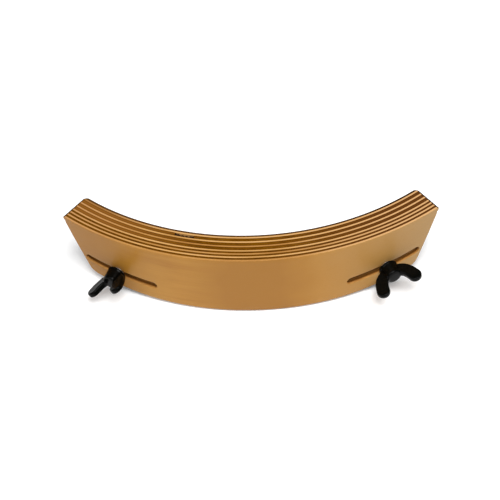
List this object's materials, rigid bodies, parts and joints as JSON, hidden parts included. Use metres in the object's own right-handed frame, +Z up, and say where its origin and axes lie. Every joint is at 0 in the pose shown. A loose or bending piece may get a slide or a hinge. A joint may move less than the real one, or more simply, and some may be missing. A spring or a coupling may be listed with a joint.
{
  "type": "violin shoulder rest",
  "caption": "Curved laminated wooden violin shoulder rest with an adjustable rubber-tipped foot in a slot at each end, clamped by a black wing nut.",
  "frame": {"origin": "middle of the bottom of the bounding box, on the surface that the rest stands on", "axes": "+X along the board towards the end that is on the right when the bulging side is seen, +Y from the bulging side towards the hollow side, +Z up to the board's straight edge; the board bends about a vertical axis"},
  "size_m": [0.25, 0.0644, 0.0525],
  "materials": {
    "light_veneer": "satin lacquer",
    "dark_veneer": "satin lacquer",
    "black_moulding": "satin moulded",
    "black_nylon": "matt",
    "rubber": "matt",
    "black_steel": "black powder coat",
    "zinc_steel": "bright zinc",
    "brass": "plain"
  },
  "bodies": {
    "board": {"ply_01_light": "light_veneer", "ply_02_dark": "dark_veneer", "ply_03_light": "light_veneer", "ply_04_dark": "dark_veneer", "ply_05_light": "light_veneer", "ply_06_dark": "dark_veneer", "ply_07_light": "light_veneer", "ply_08_dark": "dark_veneer", "ply_09_light": "light_veneer", "ply_10_dark": "dark_veneer", "ply_11_light": "light_veneer", "ply_12_dark": "dark_veneer", "ply_13_light": "light_veneer", "ply_14_dark": "dark_veneer"},
    "left_shoe": {"left_slide_shoe": "black_nylon"},
    "left_foot": {"left_foot_plate": "black_steel", "left_bolt": "zinc_steel", "left_upper_pin": "zinc_steel", "left_lower_pin": "zinc_steel", "left_upper_sleeve": "rubber", "left_lower_sleeve": "rubber"},
    "left_washer": {"left_washer": "zinc_steel"},
    "left_nut": {"left_wing_nut": "black_moulding", "left_nut_insert": "brass"},
    "right_shoe": {"right_slide_shoe": "black_nylon"},
    "right_foot": {"right_foot_plate": "black_steel", "right_bolt": "zinc_steel", "right_upper_pin": "zinc_steel", "right_lower_pin": "zinc_steel", "right_upper_sleeve": "rubber", "right_lower_sleeve": "rubber"},
    "right_washer": {"right_washer": "zinc_steel"},
    "right_nut": {"right_wing_nut": "black_moulding", "right_nut_insert": "brass"}
  },
  "joints": [
    {"name": "left_slot_travel", "type": "hinge", "parent": "board", "child": "left_shoe", "pos_m": [0, 0.17348, 0.01902], "axis": [-0.0861, 0.0418, -0.9954], "range_deg": [-7.4, 6.45]},
    {"name": "left_foot_swivel", "type": "hinge", "parent": "left_shoe", "child": "left_foot", "pos_m": [-0.08975, -0.00737, 0.01918], "axis": [-0.4445, -0.8958, 0.0008], "continuous": true},
    {"name": "left_washer_lift", "type": "slide", "parent": "left_foot", "child": "left_washer", "axis": [-0.4445, -0.8958, 0.0008], "range_m": [0, 0.0024]},
    {"name": "left_nut_spin", "type": "hinge", "parent": "left_washer", "child": "left_nut", "pos_m": [-0.08975, -0.00737, 0.01918], "axis": [-0.4445, -0.8958, 0.0008], "range_deg": [0, 1081]},
    {"name": "right_slot_travel", "type": "hinge", "parent": "board", "child": "right_shoe", "pos_m": [0, 0.17348, 0.01902], "axis": [-0.0861, -0.0418, 0.9954], "range_deg": [-7.4, 6.45]},
    {"name": "right_foot_swivel", "type": "hinge", "parent": "right_shoe", "child": "right_foot", "pos_m": [0.08975, -0.00737, 0.01918], "axis": [0.4445, -0.8958, 0.0008], "continuous": true},
    {"name": "right_washer_lift", "type": "slide", "parent": "right_foot", "child": "right_washer", "axis": [0.4445, -0.8958, 0.0008], "range_m": [0, 0.0024]},
    {"name": "right_nut_spin", "type": "hinge", "parent": "right_washer", "child": "right_nut", "pos_m": [0.08975, -0.00737, 0.01918], "axis": [0.4445, -0.8958, 0.0008], "range_deg": [0, 1081]}
  ],
  "couplings": [
    {"joint": "left_nut_spin", "follows": "left_washer_lift", "rad_per_m": 7854},
    {"joint": "right_nut_spin", "follows": "right_washer_lift", "rad_per_m": 7854}
  ]
}
